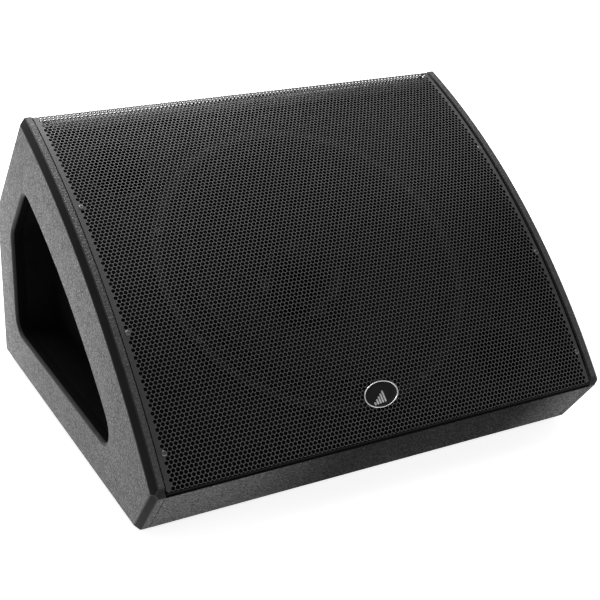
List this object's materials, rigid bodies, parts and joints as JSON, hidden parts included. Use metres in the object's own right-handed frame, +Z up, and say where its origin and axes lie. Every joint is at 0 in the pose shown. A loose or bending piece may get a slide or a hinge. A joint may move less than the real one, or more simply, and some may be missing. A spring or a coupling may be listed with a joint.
{
  "type": "stage monitor wedge",
  "caption": "Floor wedge loudspeaker: plywood cabinet with bowed perforated steel grille, coaxial driver, diagonal reflex ports and a hand recess in each side.",
  "frame": {"origin": "on the floor, under the middle of the bounding box", "axes": "+Z up, -Y towards the listener's side where the nose and kick face are, +X across the width"},
  "size_m": [0.575, 0.5176, 0.3654],
  "materials": {
    "side_paint": "textured black paint over birch plywood, fine orange-peel grain",
    "panel_paint": "textured black paint over birch plywood",
    "baffle_paint": "matt black paint over plywood",
    "tray_paint": "matt black paint over plywood",
    "grille_coat": "black powder-coated perforated steel sheet",
    "badge_black": "gloss black",
    "badge_chrome": "polished rim",
    "port_plastic": "moulded black",
    "basket_coat": "black coated pressed steel",
    "surround_rubber": "treated cloth and rubber",
    "gasket_card": "black card",
    "cone_paper": "black paper cone",
    "coil_copper": "enamelled copper wire",
    "spider_cloth": "treated cloth",
    "motor_steel": "black painted steel",
    "ferrite": "grey-black ferrite",
    "horn_plastic": "moulded black",
    "hf_body": "black die-cast",
    "diaphragm_metal": "thin metal dome",
    "plate_plastic": "moulded black",
    "socket_plastic": "moulded black",
    "board_laminate": "green laminate",
    "capacitor_film": "blue film",
    "damping_felt": "grey polyester felt",
    "screw_black": "black oxide",
    "screw_steel": "black oxide",
    "foot_rubber": "moulded rubber"
  },
  "bodies": {
    "cabinet": {"side_panel_left": "side_paint", "side_panel_right": "side_paint", "kick_panel": "panel_paint", "bottom_panel": "panel_paint", "rear_panel": "panel_paint", "rear_top_panel": "panel_paint", "baffle": "baffle_paint", "hand_tray_left": "tray_paint", "hand_tray_right": "tray_paint", "grille": "grille_coat", "grille_batten_left": "baffle_paint", "grille_batten_right": "baffle_paint", "badge_disc": "badge_black", "badge_ring": "badge_chrome", "port_tube_upper": "port_plastic", "port_tube_lower": "port_plastic", "driver_basket": "basket_coat", "driver_surround": "surround_rubber", "driver_gasket": "gasket_card", "driver_spider": "spider_cloth", "top_plate": "motor_steel", "magnet_ring": "ferrite", "pole_plate": "motor_steel", "hf_horn": "horn_plastic", "hf_driver_body": "hf_body", "connector_plate": "plate_plastic", "speaker_socket_input": "socket_plastic", "speaker_socket_link": "socket_plastic", "crossover_board": "board_laminate", "crossover_coil_1": "coil_copper", "crossover_coil_2": "coil_copper", "crossover_capacitor": "capacitor_film", "damping_pad": "damping_felt", "frame_screw_1": "screw_black", "frame_screw_2": "screw_black", "frame_screw_3": "screw_black", "frame_screw_4": "screw_black", "frame_screw_5": "screw_black", "frame_screw_6": "screw_black", "frame_screw_7": "screw_black", "frame_screw_8": "screw_black", "grille_screw_left_1": "screw_steel", "grille_screw_left_2": "screw_steel", "grille_screw_left_3": "screw_steel", "grille_screw_right_1": "screw_steel", "grille_screw_right_2": "screw_steel", "grille_screw_right_3": "screw_steel", "rubber_foot_1": "foot_rubber", "rubber_foot_2": "foot_rubber", "rubber_foot_3": "foot_rubber", "rubber_foot_4": "foot_rubber"},
    "cone_assembly": {"driver_cone": "cone_paper", "voice_coil": "coil_copper"},
    "hf_dome": {"hf_diaphragm": "diaphragm_metal"}
  },
  "joints": [
    {"name": "cone_travel", "type": "slide", "parent": "cabinet", "child": "cone_assembly", "axis": [0, -0.6007, 0.7995], "range_m": [-0.005, 0.005], "stiffness_N_per_m": 3500, "deforming": ["driver_surround", "driver_spider"]},
    {"name": "hf_dome_travel", "type": "slide", "parent": "cabinet", "child": "hf_dome", "axis": [0, -0.6007, 0.7995], "range_m": [-0.0004, 0.0004], "stiffness_N_per_m": 6000}
  ]
}
